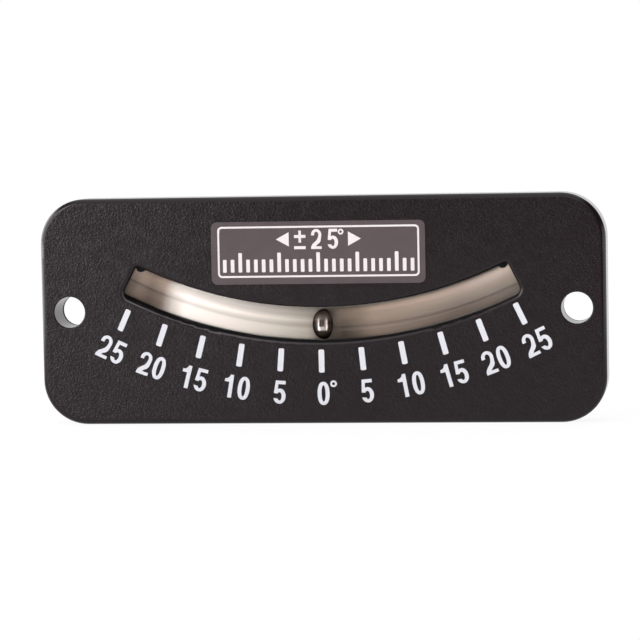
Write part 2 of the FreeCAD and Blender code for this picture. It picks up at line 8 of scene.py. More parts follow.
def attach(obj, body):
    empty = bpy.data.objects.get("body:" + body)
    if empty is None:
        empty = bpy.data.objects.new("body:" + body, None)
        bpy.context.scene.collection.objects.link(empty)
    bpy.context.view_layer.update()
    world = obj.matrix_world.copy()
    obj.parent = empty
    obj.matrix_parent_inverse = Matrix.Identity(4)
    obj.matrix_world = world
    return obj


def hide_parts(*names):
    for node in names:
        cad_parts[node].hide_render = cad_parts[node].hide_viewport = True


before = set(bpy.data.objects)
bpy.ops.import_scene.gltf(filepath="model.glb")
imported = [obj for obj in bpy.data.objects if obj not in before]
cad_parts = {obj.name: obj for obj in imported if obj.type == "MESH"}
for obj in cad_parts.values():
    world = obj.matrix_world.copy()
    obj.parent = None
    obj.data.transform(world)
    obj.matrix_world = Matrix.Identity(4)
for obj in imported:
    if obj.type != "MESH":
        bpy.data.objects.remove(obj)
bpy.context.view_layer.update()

MM = 0.001
WHOLE_TURN = 2 * math.pi
ROOT = "instrument"

# Sizes that the looks share with the solids, in millimetres
ARC_HEIGHT = 89.0
TUBE_RADIUS = 92.1
TUBE_DEPTH = 4.95
TUBE_OUTER = 3.45
TUBE_BORE = 2.35
TUBE_HALF_SPAN = 45.35
PLUG_LENGTH = 3.0
FACE_DEPTH = 9.5
HOLE_OFFSET = 53.9
HOLE_RADIUS = 3.3
PRINT_THICKNESS = 0.08
LABEL_THICKNESS = 0.15
PRINT_SKEW = math.radians(0.45)

tube_half_angle = math.asin(TUBE_HALF_SPAN / TUBE_RADIUS)


# Mesh helpers

def add_mesh(name, mesh, materials):
    """An object of this mesh that rides with the instrument."""
    piece = bpy.data.objects.new(name, mesh)
    bpy.context.scene.collection.objects.link(piece)
    for material in materials:
        mesh.materials.append(material)
    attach(piece, ROOT)
    return piece


def arc_place(radius, angle, depth):
    """A point by its distance and angle from the arc's centre, in metres."""
    x = radius * math.sin(angle)
    z = ARC_HEIGHT - radius * math.cos(angle)
    return Vector((x, -depth, z)) * MM


def sweep_round(bm, half_angle, ring_radius, along, around, slot, outward=True):
    """A round skin swept along the arc. Returns its rings of points."""
    rings = []
    for step in range(along + 1):
        angle = half_angle * (2 * step / along - 1)
        ring = []
        for turn in range(around):
            spin = WHOLE_TURN * turn / around
            out = TUBE_RADIUS + ring_radius * math.cos(spin)
            depth = TUBE_DEPTH + ring_radius * math.sin(spin)
            ring.append(bm.verts.new(arc_place(out, angle, depth)))
        rings.append(ring)
    for first, second in zip(rings, rings[1:]):
        for turn in range(around):
            after = (turn + 1) % around
            corners = [first[turn], second[turn], second[after], first[after]]
            face = bm.faces.new(corners if outward else corners[::-1])
            face.material_index = slot
            face.smooth = True
    return rings


# Materials

# The part of its range that a noise mostly stays in
NOISE_RANGE = (0.3, 0.7)
# How a normal's depth changes where a face turns from the front to a side
FRONT_FACING = (-0.995, -0.97)


class NodeTree:
    """Short calls for the nodes that a material or the world is made of."""

    def __init__(self, tree):
        self.tree = tree

    def node(self, kind, **settings):
        made = self.tree.nodes.new(kind)
        for key, value in settings.items():
            setattr(made, key, value)
        return made

    def link(self, output, target):
        if isinstance(output, (int, float)):
            target.default_value = output
        elif isinstance(output, tuple):
            target.default_value = (*output, 1.0)
        else:
            self.tree.links.new(output, target)

    def maths(self, operation, first, second=0.0, third=0.0):
        made = self.node("ShaderNodeMath", operation=operation)
        for value, target in zip((first, second, third), made.inputs):
            self.link(value, target)
        return made.outputs[0]

    def product(self, value, *others):
        """Two or more values, multiplied."""
        for other in others:
            value = self.maths("MULTIPLY", value, other)
        return value

    def noise(self, size_mm, detail=2.0, roughness=0.5, vector=None, stretch=(1, 1, 1)):
        """Noise whose features are about size_mm across."""
        scale = self.node("ShaderNodeVectorMath", operation="MULTIPLY")
        self.link(vector or self.places, scale.inputs[0])
        scale.inputs[1].default_value = Vector(stretch) / (size_mm * MM)
        made = self.node("ShaderNodeTexNoise")
        made.inputs["Scale"].default_value = 1.0
        made.inputs["Detail"].default_value = detail
        made.inputs["Roughness"].default_value = roughness
        self.link(scale.outputs[0], made.inputs["Vector"])
        return made.outputs["Fac"]

    def ramp(self, factor, *stops, smooth=False):
        """A colour ramp: each stop is a place and a colour or a grey level."""
        made = self.node("ShaderNodeValToRGB")
        made.color_ramp.interpolation = "EASE" if smooth else "LINEAR"
        elements = made.color_ramp.elements
        while len(elements) < len(stops):
            elements.new(0.5)
        for element, (place, colour) in zip(elements, stops):
            element.position = place
            shade = colour if isinstance(colour, tuple) else (colour,) * 3
            element.color = (*shade, 1.0)
        self.link(factor, made.inputs[0])
        return made.outputs[0]

    def spread(self, value, low, high, to_low=0.0, to_high=1.0, smooth=False):
        """Maps a range of a value to another range, and holds it at the ends."""
        made = self.node("ShaderNodeMapRange")
        if smooth:
            made.interpolation_type = "SMOOTHSTEP"
        for number, target in zip((value, low, high, to_low, to_high), made.inputs):
            self.link(number, target)
        return made.outputs[0]

    def varied(self, noise, low, high):
        """A number that a noise moves between two ends."""
        return self.spread(noise, *NOISE_RANGE, low, high)

    def within(self, value, limit, edge):
        """One while a value of either sign is within a limit, nought past its edge."""
        return self.spread(self.maths("ABSOLUTE", value), limit, limit + edge, 1.0, 0.0)

    def mixed(self, factor, first, second):
        """A number between two numbers."""
        made = self.node("ShaderNodeMix", data_type="FLOAT")
        self.link(factor, made.inputs[0])
        self.link(first, made.inputs[2])
        self.link(second, made.inputs[3])
        return made.outputs[0]

    def blend(self, factor, first, second, kind="MIX"):
        """A colour between two colours, or another mix of them."""
        made = self.node("ShaderNodeMix", data_type="RGBA", blend_type=kind)
        self.link(factor, made.inputs[0])
        self.link(first, made.inputs[6])
        self.link(second, made.inputs[7])
        return made.outputs[2]

    def bump(self, height, distance_mm, strength=1.0, after=None):
        """A normal that a height changes, or that changes another normal."""
        made = self.node("ShaderNodeBump")
        made.inputs["Distance"].default_value = distance_mm * MM
        self.link(strength, made.inputs["Strength"])
        self.link(height, made.inputs["Height"])
        if after is not None:
            self.link(after, made.inputs["Normal"])
        return made.outputs[0]

    def separate(self, vector):
        made = self.node("ShaderNodeSeparateXYZ")
        self.link(vector, made.inputs[0])
        return made.outputs


class Shader(NodeTree):
    """A material round one Principled shader, whose plain numbers are set on its own sockets."""

    def __init__(self, name, roughness=0.5, metallic=0.0, specular=0.5, ior=1.5, transmission=0.0):
        self.material = bpy.data.materials.new(name)
        self.material.use_nodes = True
        super().__init__(self.material.node_tree)
        self.surface = self.tree.nodes["Principled BSDF"]
        self.surface.inputs["Roughness"].default_value = roughness
        self.surface.inputs["Metallic"].default_value = metallic
        self.surface.inputs["Specular IOR Level"].default_value = specular
        self.surface.inputs["IOR"].default_value = ior
        self.surface.inputs["Transmission Weight"].default_value = transmission
        self.places = self.node("ShaderNodeTexCoord").outputs["Object"]

    def parts(self):
        """The place's x, y and z, in millimetres."""
        scale = self.node("ShaderNodeVectorMath", operation="SCALE")
        self.link(self.places, scale.inputs[0])
        scale.inputs["Scale"].default_value = 1 / MM
        return self.separate(scale.outputs[0])

    def front_share(self):
        """One where the surface faces the reader, nought on the side walls and the back."""
        normal = self.separate(self.node("ShaderNodeTexCoord").outputs["Normal"])
        return self.spread(normal[1], *FRONT_FACING, 1.0, 0.0)

    def distance(self, across, up):
        """How far a place is from the point that both its offsets are taken from."""
        squares = [self.maths("POWER", offset, 2.0) for offset in (across, up)]
        return self.maths("SQRT", self.maths("ADD", *squares))

    def arc_distance(self, x, z):
        """How far a place lies outside the tube's own arc and below the arc's centre, in millimetres."""
        fall = self.maths("SUBTRACT", ARC_HEIGHT, z)
        return self.maths("SUBTRACT", self.distance(x, fall), TUBE_RADIUS), fall

    def set(self, **values):
        for name, value in values.items():
            self.link(value, self.surface.inputs[name.replace("_", " ")])
        return self.material


# Black moulding: where its masks begin and end, in millimetres, and their levels there
MASK_EDGE = 0.1
WINDOW_FROM = 9.1
WINDOW_HALF_WIDTH = 5.5
WINDOW_HALF_SPAN = 47.0
BORE_END = 1.3
BORE_END_MARGIN = 0.3
BORE_EDGE = (HOLE_RADIUS + 0.05, HOLE_RADIUS + 0.2)
# The rim mask paints a highlight on the rounded lower edge of the window, strongest at its left
RIM_TOP = (-9.46, -9.36)
RIM_BOTTOM = (-9.2, -9.1)
RIM_ACROSS = (2.4, 3.6)
RIM_ALONG = (-30.0, 0.0, 1.0, 0.15)
# The specks are partly the grain's own flecks and partly painted glints, made stronger towards the upper
# left, where the light falls
SPECK_GLINTS_ALONG = (-45.0, 15.0, 1.1, 0.4)
SPECK_GLINTS_UP = (-12.0, 14.0, 0.6, 1.1)
GRAIN_ALONG = (-56.0, -6.0, 1.0, 0.55)
# The sizes of its noises, in millimetres, and the part of their range that shows
GRAIN_SIZE = 0.42
GRAIN_DEPTH = 0.21
PORE_SIZE = 0.3
PORE_RANGE = (0.42, 0.72)
PATCH_SIZE = 3.2
PATCH_RANGE = (0.38, 0.66, 0.15, 1.0)
DRIFT_SIZE = 22.0
# Its tones and roughness
MOULDING_TONES = ((0.0086, 0.0046, 0.0056), (0.0120, 0.0074, 0.0086))
# The speck tone is partly grain and partly painted glints
SPECK_AND_GLINT_TONE = (0.034, 0.031, 0.033)
# The inside tone is painted shade, laid on the walls inside the window and on the back end of each mounting
# hole
INSIDE_SHADE_TONE = (0.002, 0.0015, 0.0015)
# The rim tone is a painted highlight
RIM_HIGHLIGHT_TONE = (0.085, 0.078, 0.084)
SIDE_ROUGHNESS = 0.14
FACE_ROUGHNESS_ADDED = 0.12
BORE_ROUGHNESS_ADDED = 0.05
INSIDE_ROUGHNESS = 0.85
BORE_END_ROUGHNESS = 1.0


def black_moulding():
    """Grained black plastic with smooth side walls, and matt walls inside the window. Painted shade darkens
    the walls inside the window and the back end of the mounting holes, a painted highlight lightens the
    window's lower rim, and pale specks stand partly for the grain and partly for its glints.
    """
    shader = Shader("black_moulding", specular=0.24)
    x, y, z = shader.parts()
    across, fall = shader.arc_distance(x, z)
    off = shader.distance(shader.maths("SUBTRACT", shader.maths("ABSOLUTE", x), HOLE_OFFSET), z)
    window = shader.product(
        shader.within(across, WINDOW_HALF_WIDTH, MASK_EDGE),
        shader.spread(y, -WINDOW_FROM, MASK_EDGE - WINDOW_FROM),
        shader.within(x, WINDOW_HALF_SPAN, MASK_EDGE),
    )
    # Painted shade: a dark band at the back end of each mounting hole, where the plate meets what lies
    # behind it
    bore_end = shader.product(
        shader.within(off, HOLE_RADIUS + BORE_END_MARGIN, MASK_EDGE),
        shader.spread(y, -BORE_END - MASK_EDGE, -BORE_END),
    )
    inside = shader.maths("MAXIMUM", window, bore_end)
    front = shader.product(shader.front_share(), shader.maths("SUBTRACT", 1.0, inside))
    rim = shader.product(
        shader.spread(y, *RIM_TOP),
        shader.spread(y, *RIM_BOTTOM, 1.0, 0.0),
        shader.within(across, WINDOW_HALF_WIDTH - MASK_EDGE, MASK_EDGE),
        shader.spread(across, *RIM_ACROSS),
        shader.spread(x, *RIM_ALONG),
    )
    grain_and_glints = shader.product(
        shader.spread(shader.noise(PORE_SIZE, roughness=0.7), *PORE_RANGE),
        shader.spread(shader.noise(PATCH_SIZE, detail=3.0, roughness=0.6), *PATCH_RANGE),
        shader.spread(x, *SPECK_GLINTS_ALONG),
        shader.spread(z, *SPECK_GLINTS_UP),
        front,
    )
    tone = shader.blend(shader.noise(DRIFT_SIZE), *MOULDING_TONES)
    # The specks add grain and painted glints, the inside tone painted shade and the rim tone a painted
    # highlight
    for share, mark in ((grain_and_glints, SPECK_AND_GLINT_TONE), (inside, INSIDE_SHADE_TONE), (rim, RIM_HIGHLIGHT_TONE)):
        tone = shader.blend(share, tone, mark)
    grain = shader.noise(GRAIN_SIZE, roughness=0.6)
    normal = shader.bump(grain, GRAIN_DEPTH, shader.product(front, shader.spread(x, *GRAIN_ALONG)))
    walls = shader.maths("ADD", shader.spread(off, *BORE_EDGE, BORE_ROUGHNESS_ADDED, 0.0), SIDE_ROUGHNESS)
    rough = shader.maths("MULTIPLY_ADD", front, FACE_ROUGHNESS_ADDED, walls)
    rough = shader.mixed(inside, rough, INSIDE_ROUGHNESS)
    rough = shader.mixed(bore_end, rough, BORE_END_ROUGHNESS)
    return shader.set(Base_Color=tone, Roughness=rough, Normal=normal)


# The cover's plastic: the share of a normal that turns an edge into a flat face, tones and roughness
COVER_FLAT = (0.3, 0.6)
COVER_FLOW_SIZE = 6.0
COVER_FLOW_STRETCH = (1, 1, 2.5)
COVER_GRAIN_SIZE = 0.3
COVER_GRAIN_RELIEF = (0.01, 0.5)
COVER_TONES = ((0.011, 0.0105, 0.0108), (0.02, 0.0195, 0.0198))
COVER_EDGE_TONE = (0.003, 0.0025, 0.0025)
COVER_ROUGHNESS = (0.32, 0.5)
COVER_EDGE_ROUGHNESS = 0.95


def cover_plastic():
    """Smooth black plastic with a faint flow pattern and matt edges."""
    shader = Shader("cover_plastic", specular=0.3)
    flow = shader.noise(COVER_FLOW_SIZE, detail=4.0, stretch=COVER_FLOW_STRETCH)
    fine = shader.noise(COVER_GRAIN_SIZE, detail=3.0)
    normal = shader.separate(shader.node("ShaderNodeTexCoord").outputs["Normal"])
    flat = shader.spread(shader.maths("ABSOLUTE", normal[1]), *COVER_FLAT)
    tone = shader.blend(flat, COVER_EDGE_TONE, shader.blend(flow, *COVER_TONES))
    rough = shader.mixed(flat, COVER_EDGE_ROUGHNESS, shader.varied(flow, *COVER_ROUGHNESS))
    return shader.set(Base_Color=tone, Roughness=rough, Normal=shader.bump(fine, *COVER_GRAIN_RELIEF))


def mottled(name, tones, roughness, mottle, fine, relief, steep=False, **settings):
    """A finish with one mottled tone and a fine grain.

    mottle is the patches' size, detail and roughness, fine the grain's size and detail, and relief
    the grain's depth in millimetres and its strength. A steep mottle reaches both of its tones.
    """
    shader = Shader(name, **settings)
    size, detail, roughened = mottle
    patches = shader.noise(size, detail=detail, roughness=roughened)
    grain = shader.noise(fine[0], detail=fine[1])
    tone = shader.ramp(patches, *zip(NOISE_RANGE, tones)) if steep else shader.blend(patches, *tones)
    rough = shader.varied(patches, *roughness)
    return shader.set(Base_Color=tone, Roughness=rough, Normal=shader.bump(grain, *relief))


def screw_steel():
    """Bright zinc plate, a little worn."""
    return mottled(
        "screw_steel", tones=((0.42, 0.42, 0.40), (0.68, 0.68, 0.67)), roughness=(0.22, 0.42),
        mottle=(0.8, 4.0, 0.65), fine=(0.12, 3.0), relief=(0.006, 0.5), steep=True, metallic=1.0,
    )


RUBBER_DUST_SHARE = 1.8


def black_rubber(name, level):
    """Matt black rubber."""
    return mottled(
        name, tones=((level,) * 3, (level * RUBBER_DUST_SHARE,) * 3), roughness=(0.6, 0.8),
        mottle=(1.5, 5.0, 0.6), fine=(0.15, 3.0), relief=(0.02, 0.6), specular=0.3,
    )


def label_film():
    """The label's satin film."""
    return mottled(
        "label_film", tones=((0.064, 0.0455, 0.049), (0.081, 0.059, 0.064)), roughness=(0.38, 0.5),
        mottle=(3.0, 5.0, 0.6), fine=(0.35, 3.0), relief=(0.008, 0.4),
    )


def white_ink(name, *tones):
    """Printed white ink."""
    return mottled(
        name, tones=tones, roughness=(0.45, 0.6),
        mottle=(0.6, 4.0, 0.6), fine=(0.15, 2.0), relief=(0.006, 0.5), specular=0.3,
    )


# The tube's glass. It mirrors only this share of what bare glass would, because the photograph shows
# hardly any reflection on it
TUBE_REFLECTION = (0.12, 0.12, 0.12)
TUBE_TONES = ((0.97, 0.965, 0.955), (0.99, 0.985, 0.975))
TUBE_ROUGHNESS = (0.0, 0.012)
TUBE_WAVE_SIZE = 5.0


def tube_glass():
    """The tube's polished outside."""
    shader = Shader("tube_glass", ior=1.5, transmission=1.0, specular=0.03)
    waves = shader.noise(TUBE_WAVE_SIZE, detail=1.0)
    tone = shader.blend(waves, *TUBE_TONES)
    rough = shader.varied(waves, *TUBE_ROUGHNESS)
    return shader.set(Base_Color=tone, Roughness=rough, Specular_Tint=TUBE_REFLECTION)


def unseen(name, wave_size, *tones):
    """A surface that lets everything through with a faint tint, and doesn't bend it."""
    shader = Shader(name, roughness=0.0, ior=1.0, transmission=1.0, specular=0.0)
    return shader.set(Base_Color=shader.blend(shader.noise(wave_size, detail=1.0), *tones))


def bore_film():
    """The bore, which the liquid's like refraction hides."""
    return unseen("bore_film", TUBE_WAVE_SIZE, (0.99, 0.985, 0.975), (1.0, 0.995, 0.985))


def liquid_clear():
    """The clear liquid."""
    return unseen("liquid_clear", 8.0, (0.985, 0.975, 0.96), (0.995, 0.985, 0.97))


# How flat the ball is to what it mirrors, so that the lamps stand as far apart as in the photograph
BALL_MIRROR_SPREAD = (0.6, 1.0, 0.5)
# Where the ball's zones of painted reflection begin and end, in shares of its radius aside from its middle
# and up
BALL_MIDDLE = -0.02
BALL_MIDDLE_EDGE = (0.24, 0.32)
BALL_RIM_EDGE = (0.52, 0.62)
BALL_ABOVE_EDGE = (-0.26, -0.16)
BALL_BELOW_EDGE = (-0.52, -0.44)
BALL_TOP_EDGE = (0.3, 0.55)
BALL_TONES = ((0.150, 0.120, 0.112), (0.200, 0.165, 0.155))
# Painted reflections: a dark tone in the middle above, at the bottom and round the rim, a dull top, and a
# pale patch low in the middle
BALL_DARK_REFLECTION_TONE = (0.026, 0.017, 0.013)
BALL_TOP_REFLECTION_TONE = (0.050, 0.036, 0.030)
BALL_PALE_REFLECTION_TONE = (0.36, 0.32, 0.315)
BALL_METAL = 0.6
BALL_ROUGHNESS = (0.05, 0.10)
BALL_GRAIN_RELIEF = (0.002, 0.3)


def ball_steel():
    """Dark polished bearing steel, with painted reflections in zones of its tone."""
    shader = Shader("ball_steel", specular=0.25)
    mottle = shader.noise(0.9, detail=4.0, roughness=0.6)
    fine = shader.noise(0.1)
    tone = shader.ramp(mottle, *zip(NOISE_RANGE, BALL_TONES))
    facing = shader.separate(shader.node("ShaderNodeTexCoord").outputs["Normal"])
    aside = shader.maths("ABSOLUTE", shader.maths("SUBTRACT", facing[0], BALL_MIDDLE))
    middle = shader.spread(aside, *BALL_MIDDLE_EDGE, 1.0, 0.0, smooth=True)
    rim = shader.spread(aside, *BALL_RIM_EDGE, smooth=True)
    above = shader.spread(facing[2], *BALL_ABOVE_EDGE, smooth=True)
    below = shader.spread(facing[2], *BALL_BELOW_EDGE, 1.0, 0.0, smooth=True)
    top = shader.spread(facing[2], *BALL_TOP_EDGE, smooth=True)
    # The dark zones are painted dark reflection, the top a painted dull reflection and the pale patch a
    # painted reflection of a bright surface in front; these zones set no metal
    dark = shader.maths("MAXIMUM", shader.product(middle, above), below)
    pale = shader.maths("SUBTRACT", shader.maths("MAXIMUM", middle, below), dark)
    dark = shader.maths("MAXIMUM", dark, rim)
    for share, zone in ((dark, BALL_DARK_REFLECTION_TONE), (top, BALL_TOP_REFLECTION_TONE), (pale, BALL_PALE_REFLECTION_TONE)):
        tone = shader.blend(share, tone, zone)
    metal = shader.mixed(shader.maths("MAXIMUM", dark, top), BALL_METAL, 0.0)
    flatter = shader.node("ShaderNodeVectorMath", operation="MULTIPLY")
    shader.link(shader.node("ShaderNodeNewGeometry").outputs["Normal"], flatter.inputs[0])
    flatter.inputs[1].default_value = BALL_MIRROR_SPREAD
    unit = shader.node("ShaderNodeVectorMath", operation="NORMALIZE")
    shader.link(flatter.outputs[0], unit.inputs[0])
    normal = shader.bump(fine, *BALL_GRAIN_RELIEF, after=unit.outputs[0])
    rough = shader.varied(mottle, *BALL_ROUGHNESS)
    return shader.set(Base_Color=tone, Metallic=metal, Roughness=rough, Normal=normal)


# The strip's tone along the arc, from its left end to its right, by the share of the way. Over its own grey
# it holds painted light: a bright painted reflection on its left part, a painted shadow of the window's end
# wall near the left end, and a painted shadow of the ball just right of it
STRIP_HALF_SPAN = 45.0
STRIP_LIGHT_AND_SHADE_TONES = (
    (0.045, (0.70, 0.550, 0.480)),
    (0.085, (0.30, 0.222, 0.188)),
    (0.115, (0.40, 0.310, 0.270)),
    (0.140, (0.70, 0.655, 0.645)),
    (0.17, (0.74, 0.695, 0.690)),
    (0.375, (0.41, 0.380, 0.365)),
    (0.464, (0.28, 0.252, 0.235)),
    (0.545, (0.140, 0.108, 0.088)),
    (0.58, (0.165, 0.127, 0.104)),
    (0.62, (0.280, 0.216, 0.182)),
    (0.83, (0.290, 0.235, 0.210)),
    (0.92, (0.400, 0.335, 0.305)),
)
# Its two levels of painted light and shade across the arc, by the share of the way up, where this level
# leaves a tone unchanged
STRIP_HALF_HEIGHT = 1.0
ACROSS_SCALE = 0.4
STRIP_EVEN_SHADING = (
    (0.20, 0.48), (0.25, 0.37), (0.31, 0.37), (0.45, 0.56), (0.61, 0.34), (0.68, 0.36), (0.79, 0.72),
)
STRIP_FADING_SHADING = (
    (0.20, 0.16), (0.25, 0.10), (0.31, 0.21), (0.45, 0.25), (0.67, 0.36), (0.79, 0.55),
)
# Which of the two holds along the arc: nought is even, one is fading
STRIP_SIDE = (
    (0.11, 1.0), (0.17, 0.0), (0.46, 0.0), (0.545, 1.0), (0.6, 0.7), (0.8, 1.0),
)
# Its drawn streaks: noises that are stretched along the arc, and what they do
STREAK_STRETCH = (0.05, 3.0, 1.0)
STREAK_LEVELS = (0.97, 1.02)
GRAIN_STRETCH = (0.3, 14.0, 1.0)
GRAIN_RELIEF = (0.004, 0.5)
STRIP_ROUGHNESS = (0.36, 0.42)
# The noise size for places that are already in millimetres
IN_MILLIMETRES = 1000.0


def reflector_metal():
    """A satin strip drawn along the arc, whose tone holds painted reflection and shade."""
    shader = Shader("reflector_metal", metallic=0.35, specular=0.12)
    x, y, z = shader.parts()
    across, fall = shader.arc_distance(x, z)
    flat = shader.node("ShaderNodeCombineXYZ")
    shader.link(shader.product(shader.maths("ARCTAN2", x, fall), TUBE_RADIUS), flat.inputs[0])
    shader.link(across, flat.inputs[1])
    places = flat.outputs[0]
    brushed = shader.noise(IN_MILLIMETRES, detail=4.0, roughness=0.6, vector=places, stretch=STREAK_STRETCH)
    fine = shader.noise(IN_MILLIMETRES, vector=places, stretch=GRAIN_STRETCH)
    along = shader.spread(x, -STRIP_HALF_SPAN, STRIP_HALF_SPAN)
    up = shader.spread(across, STRIP_HALF_HEIGHT, -STRIP_HALF_HEIGHT)
    even, fading = (shader.ramp(up, *stops) for stops in (STRIP_EVEN_SHADING, STRIP_FADING_SHADING))
    level = shader.mixed(shader.ramp(along, *STRIP_SIDE), even, fading)
    # The streaks are the strip's own brushing; the level that scales them is painted shade and light across
    # the strip
    streaked_shading = shader.product(shader.varied(brushed, *STREAK_LEVELS), level, 1 / ACROSS_SCALE)
    grey = shader.node("ShaderNodeCombineColor")
    for target in grey.inputs:
        shader.link(streaked_shading, target)
    tone = shader.blend(1.0, shader.ramp(along, *STRIP_LIGHT_AND_SHADE_TONES), grey.outputs[0], kind="MULTIPLY")
    rough = shader.varied(brushed, *STRIP_ROUGHNESS)
    return shader.set(Base_Color=tone, Roughness=rough, Normal=shader.bump(fine, *GRAIN_RELIEF))


# Printed figures

def bow(centre, radii, start, end, steps=14):
    """Points on an ellipse between two angles in degrees."""
    turns = [start + (end - start) * step / steps for step in range(steps + 1)]
    return [
        (
            centre[0] + radii[0] * math.cos(math.radians(turn)),
            centre[1] + radii[1] * math.sin(math.radians(turn)),
        )
        for turn in turns
    ]


def oval(half_width, half_height, power, steps=48):
    """A closed loop between an ellipse and a rectangle."""
    loop = []
    for step in range(steps):
        turn = WHOLE_TURN * step / steps
        x = math.copysign(abs(math.cos(turn)) ** (2 / power), math.cos(turn))
        y = math.copysign(abs(math.sin(turn)) ** (2 / power), math.sin(turn))
        loop.append((half_width * x, half_height * y))
    return loop


# Outlines of the figures, in shares of half the figure's height
FIGURES = {
    "0": [oval(0.52, 1.0, 2.3), oval(0.175, 0.71, 2.1)],
    "1": [
        [(-0.02, -1.0), (0.32, -1.0), (0.32, 1.0), (0.04, 1.0)]
        + bow((-0.42, 1.02), (0.44, 0.40), 350, 270, 8)
        + [(-0.42, 0.36), (-0.02, 0.36)]
    ],
    "2": [
        [(0.53, -1.0), (0.53, -0.73), (-0.06, -0.73)]
        + bow((-0.46, 0.12), (0.98, 0.82), 305, 335, 8)
        + bow((0.0, 0.44), (0.52, 0.56), 350, 540, 22)
        + [(-0.52, 0.36), (-0.20, 0.36)]
        + bow((0.0, 0.44), (0.21, 0.29), 175, 0, 14)
        + bow((-0.60, 0.42), (0.80, 0.86), 355, 318, 8)
        + [(-0.40, -0.52), (-0.53, -0.78), (-0.53, -1.0)]
    ],
    "5": [
        [(0.46, 1.0), (0.46, 0.70), (-0.15, 0.70), (-0.20, 0.28)]
        + bow((0.02, -0.34), (0.51, 0.66), 110, -90, 22)
        + bow((0.0, -0.42), (0.53, 0.58), 270, 192, 10)
        + [(-0.20, -0.56)]
        + bow((0.0, -0.42), (0.180, 0.30), 205, 270, 6)
        + bow((0.0, -0.36), (0.180, 0.36), -90, 100, 14)
        + [(-0.12, -0.02), (-0.20, -0.14), (-0.51, -0.10), (-0.40, 1.0)]
    ],
    "ring": [oval(0.29, 0.29, 2.0, 28), oval(0.125, 0.125, 2.0, 28)],
    "plus_minus": [
        [
            (-0.13, 0.86), (-0.13, 0.42), (-0.58, 0.42), (-0.58, 0.12), (-0.13, 0.12), (-0.13, -0.34),
            (0.13, -0.34), (0.13, 0.12), (0.58, 0.12), (0.58, 0.42), (0.13, 0.42), (0.13, 0.86),
        ],
        [(-0.58, -1.0), (0.58, -1.0), (0.58, -0.70), (-0.58, -0.70)],
    ],
    "arrow": [[(-0.75, 0.0), (0.55, 0.72), (0.55, -0.72)]],
}


# How close two points of a print are joined, in metres
JOIN_DISTANCE = 1e-7


def flat_print(name, loops, depth, thickness, material):
    """A thin printed shape from closed loops of places across and up, in millimetres."""
    curve = bpy.data.curves.new(name, "CURVE")
    curve.dimensions = "2D"
    curve.fill_mode = "BOTH"
    curve.extrude = thickness / 2 * MM
    for loop in loops:
        spline = curve.splines.new("POLY")
        spline.points.add(len(loop) - 1)
        for point, (x, y) in zip(spline.points, loop):
            point.co = (x * MM, y * MM, 0.0, 1.0)
        spline.use_cyclic_u = True
    holder = bpy.data.objects.new(name + "_curve", curve)
    mesh = bpy.data.meshes.new_from_object(holder)
    bpy.data.objects.remove(holder)
    stand = Matrix.Rotation(math.pi / 2, 4, "X")
    mesh.transform(Matrix.Translation((0.0, -(depth + thickness / 2) * MM, 0.0)) @ stand)
    mesh.name = name
    mesh.materials.clear()
    bm = bmesh.new()
    bm.from_mesh(mesh)
    bmesh.ops.remove_doubles(bm, verts=bm.verts, dist=JOIN_DISTANCE)
    bmesh.ops.recalc_face_normals(bm, faces=bm.faces)
    bm.to_mesh(mesh)
    bm.free()
    return add_mesh(name, mesh, [material])


def placed(loops, size, centre, turn=0.0, stretch=1.0):
    """Loops drawn about their middle, sized, turned and moved to their place."""
    cos, sin = math.cos(turn), math.sin(turn)
    result = []
    for loop in loops:
        moved = []
        for x, y in loop:
            x, y = x * size * stretch, y * size
            moved.append((centre[0] + x * cos - y * sin, centre[1] + x * sin + y * cos))
        result.append(moved)
    return result


def written(figures, half_height, pitch, stretch=1.0):
    """Figures side by side about the middle."""
    loops = []
    for index, figure in enumerate(figures):
        x = pitch * (index - (len(figures) - 1) / 2)
        loops += placed(FIGURES[figure], half_height, (x, 0.0), stretch=stretch)
    return loops


def skewed(loops):
    """The print's small turn about the middle of the plate."""
    return placed(loops, 1.0, (0.0, 0.0), PRINT_SKEW)


# Scale numbers
NUMBER_RADIUS = 106.6
NUMBER_HALF_HEIGHT = 2.45
NUMBER_PITCH = 3.2
NUMBER_SHIFT = 0.25
NUMBER_STEP = 5
NUMBER_SPREAD = 1.0045
NUMBER_COUNT = 11
DEGREE_PLACE = (2.17, 2.02)


def make_numbers(ink):
    """The scale's numbers, each turned with its mark."""
    middle = NUMBER_COUNT // 2
    for index in range(NUMBER_COUNT):
        step = index - middle
        angle = math.radians(NUMBER_STEP * step * NUMBER_SPREAD)
        value = abs(step) * NUMBER_STEP
        loops = written(str(value), NUMBER_HALF_HEIGHT, NUMBER_PITCH)
        if value == 0:
            loops += placed(FIGURES["ring"], NUMBER_HALF_HEIGHT, DEGREE_PLACE)
        loops = placed(loops, 1.0, (NUMBER_SHIFT, 0.0))
        centre = (NUMBER_RADIUS * math.sin(angle), ARC_HEIGHT - NUMBER_RADIUS * math.cos(angle))
        side = "left" if step < 0 else "right"
        name = "number_0" if value == 0 else f"number_{value}_{side}"
        loops = skewed(placed(loops, 1.0, centre, angle))
        flat_print(name, loops, FACE_DEPTH, PRINT_THICKNESS, ink)


# Label print
BORDER_SIZE = (42.8, 10.8)
BORDER_CENTRE = (-0.22, 12.38)
BORDER_CORNER = 0.95
BORDER_LINE = 0.4
LABEL_PRINT_THICKNESS = 0.04
LABEL_PRINT_SINK = 0.025
RANGE_CENTRE = (-2.3, 14.98)
RANGE_HALF_HEIGHT = 2.1
RANGE_PITCH = 3.5
